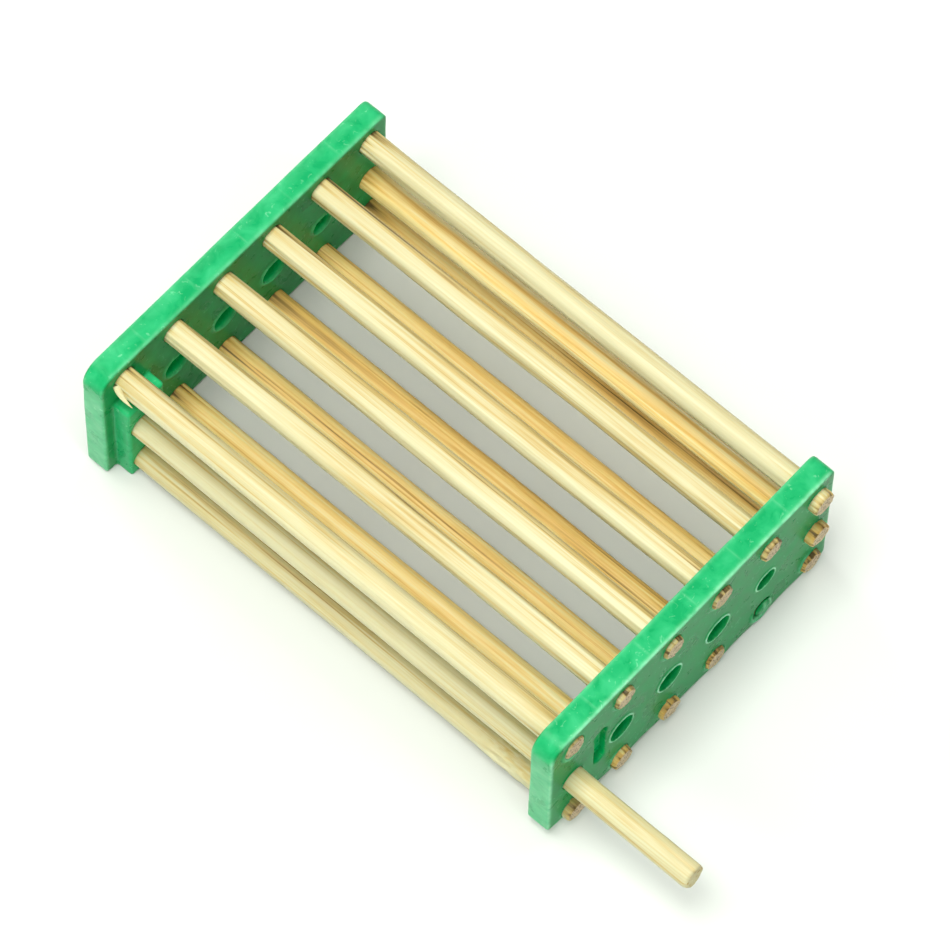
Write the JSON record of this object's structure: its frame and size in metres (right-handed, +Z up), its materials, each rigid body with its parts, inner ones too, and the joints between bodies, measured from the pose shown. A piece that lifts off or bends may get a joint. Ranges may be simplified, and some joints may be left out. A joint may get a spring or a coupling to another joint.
{
  "type": "queen cage",
  "caption": "Flat cage of parallel bamboo rods held between moulded green end plates; a longer rod at one side pulls out lengthwise as the door.",
  "frame": {"origin": "under the middle of the overall box, on the surface that the plates' lower edges stand on", "axes": "+Y along the rods away from the door rod's handle, +Z up, +X towards the side rod, away from the door rod"},
  "size_m": [0.0402, 0.0748, 0.0182],
  "materials": {
    "plate_plastic": "moulded green plastic, slightly translucent, semi-gloss with pale flash along the edges",
    "bamboo": "drawn bamboo rod, raw, with fine lengthwise fibres and ridges",
    "door_bamboo": "drawn bamboo rod, raw, with fine lengthwise fibres"
  },
  "bodies": {
    "cage": {"front_plate": "plate_plastic", "rear_plate": "plate_plastic", "top_rod_1": "bamboo", "top_rod_2": "bamboo", "top_rod_3": "bamboo", "top_rod_4": "bamboo", "top_rod_5": "bamboo", "top_rod_6": "bamboo", "bottom_rod_1": "bamboo", "bottom_rod_2": "bamboo", "bottom_rod_3": "bamboo", "bottom_rod_4": "bamboo", "bottom_rod_5": "bamboo", "bottom_rod_6": "bamboo", "side_rod": "bamboo"},
    "door": {"door_rod": "door_bamboo"}
  },
  "joints": [
    {"name": "door_slide", "type": "slide", "parent": "cage", "child": "door", "axis": [0, -1, 0], "range_m": [0, 0.057]}
  ]
}
